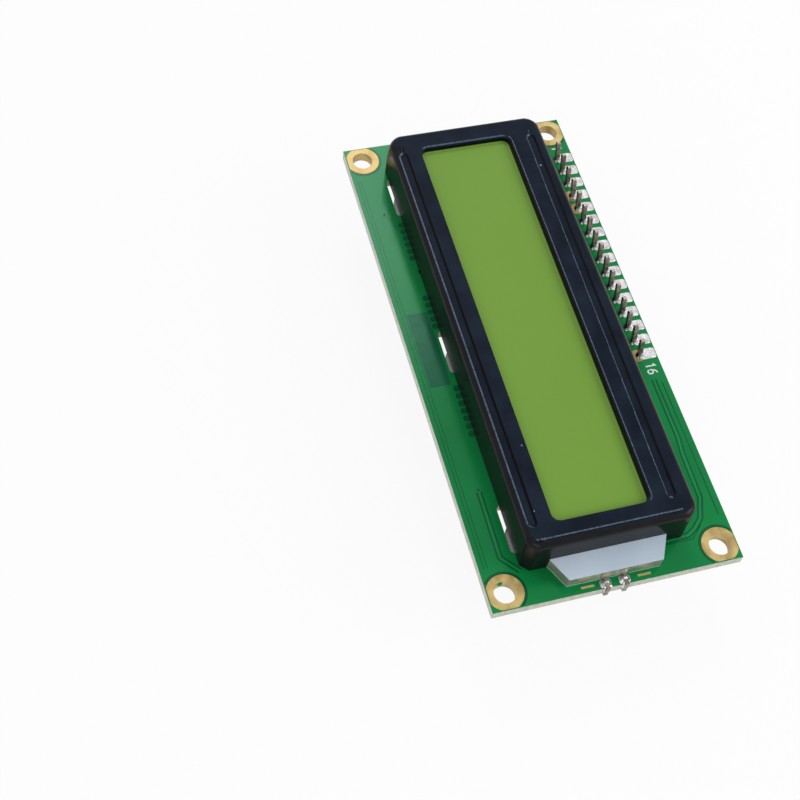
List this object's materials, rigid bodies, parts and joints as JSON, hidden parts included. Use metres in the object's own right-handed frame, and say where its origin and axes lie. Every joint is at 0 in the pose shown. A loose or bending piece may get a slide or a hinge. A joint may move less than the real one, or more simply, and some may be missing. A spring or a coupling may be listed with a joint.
{
  "type": "character lcd module",
  "caption": "Character display module: a framed liquid crystal panel on a green board, with a small serial daughter board on the header pins behind it.",
  "frame": {"origin": "middle of the four mounting holes, on the board's front face", "axes": "+X along the module toward the backlight lamp, +Y toward the header row, +Z out of the display face"},
  "size_m": [0.0803, 0.036, 0.0194],
  "materials": {
    "board_mask": "glossy green mask on glass fibre",
    "black_mask": "glossy black mask on glass fibre",
    "gold": "gold plated",
    "bezel_steel": "black satin coated steel",
    "solder": "shiny solder",
    "tinned": "tinned brass",
    "polarizer": "yellow green film",
    "clear_glass": "clear",
    "rubber": "matte",
    "guide": "clear acrylic",
    "white_film": "white film",
    "lamp": "moulded, white",
    "epoxy": "black potting",
    "ceramic_black": "glazed black",
    "ceramic_brown": "brown ceramic",
    "black_plastic": "moulded black",
    "blue_plastic": "moulded blue",
    "grey_plastic": "moulded pale grey",
    "spring_metal": "tinned spring strip"
  },
  "bodies": {
    "module": {"main_board": "board_mask", "hole_rings": "gold", "header_spacer": "black_plastic", "header_pins": "tinned", "front_joints": "solder", "rear_joints": "solder", "bezel": "bezel_steel", "front_polarizer": "polarizer", "front_glass": "clear_glass", "rear_glass": "clear_glass", "rear_polarizer": "polarizer", "diffuser_sheet": "white_film", "contact_strips": "rubber", "guide_backing": "white_film", "light_guide": "guide", "guide_film": "white_film", "backlight_lamp": "lamp", "lamp_leads": "tinned", "lamp_solder": "solder", "driver_domes": "epoxy", "bridge_solder": "solder", "board_resistors": "ceramic_black", "board_resistor_ends": "tinned", "daughter_board": "black_mask", "small_joints": "solder", "trimmer_housing": "blue_plastic", "trimmer_legs": "tinned", "expander_body": "black_plastic", "expander_leads": "tinned", "serial_block": "black_plastic", "serial_pins": "tinned", "jumper_block": "black_plastic", "jumper_pins": "tinned", "chip_resistors": "ceramic_black", "chip_resistor_ends": "tinned", "chip_capacitor": "ceramic_brown", "capacitor_ends": "tinned", "power_lamp": "lamp"},
    "trimmer_screw": {"trimmer_rotor": "grey_plastic"},
    "jumper_shunt": {"jumper_cap": "black_plastic", "jumper_clip": "spring_metal"}
  },
  "joints": [
    {"name": "contrast_turn", "type": "hinge", "parent": "module", "child": "trimmer_screw", "pos_m": [-0.0251, 0.01053, -0.0114], "axis": [0, 0.1392, -0.9903], "range_deg": [-130, 130]},
    {"name": "jumper_pull", "type": "slide", "parent": "module", "child": "jumper_shunt", "axis": [1, 0, 0], "range_m": [0, 0.006]}
  ]
}
